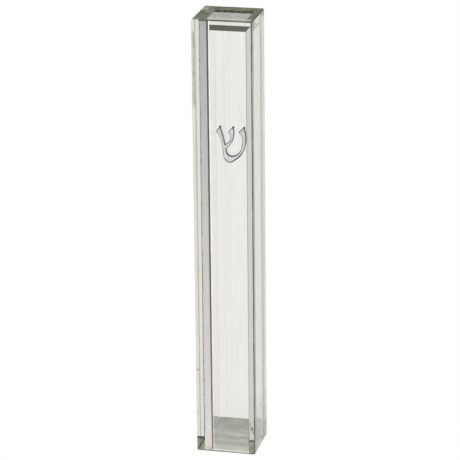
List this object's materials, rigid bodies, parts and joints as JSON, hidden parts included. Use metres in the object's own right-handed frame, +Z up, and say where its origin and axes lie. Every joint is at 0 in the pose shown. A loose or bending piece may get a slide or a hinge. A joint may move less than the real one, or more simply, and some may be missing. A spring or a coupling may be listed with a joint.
{
  "type": "glass mezuzah case",
  "caption": "Tall square glass case of bonded clear strips with a glass top plate, a silver letter on its front and a soft stopper that pulls out of the bottom.",
  "frame": {"origin": "centre of the flat back face, on the outer face of the back pane, half way up the case", "axes": "+Z up along the case, -Y out of the front face that carries the letter, +Y out of the back face towards the doorpost, +X to the right seen from the front"},
  "size_m": [0.018, 0.0175, 0.1346],
  "materials": {
    "float_glass": "clear green-edged float glass, polished faces and ground edges",
    "silicone": "milky translucent grey-green silicone, satin",
    "silver_metal": "satin silver-coloured cast metal with darker rounded edges"
  },
  "bodies": {
    "case": {"front_pane": "float_glass", "right_pane": "float_glass", "back_pane": "float_glass", "left_pane": "float_glass", "left_lining": "float_glass", "back_lining": "float_glass", "top_plate": "float_glass", "shin_emblem": "silver_metal"},
    "stopper": {"bottom_stopper": "silicone"}
  },
  "joints": [
    {"name": "stopper_pull", "type": "slide", "parent": "case", "child": "stopper", "axis": [0, 0, -1], "range_m": [0, 0.012]}
  ]
}
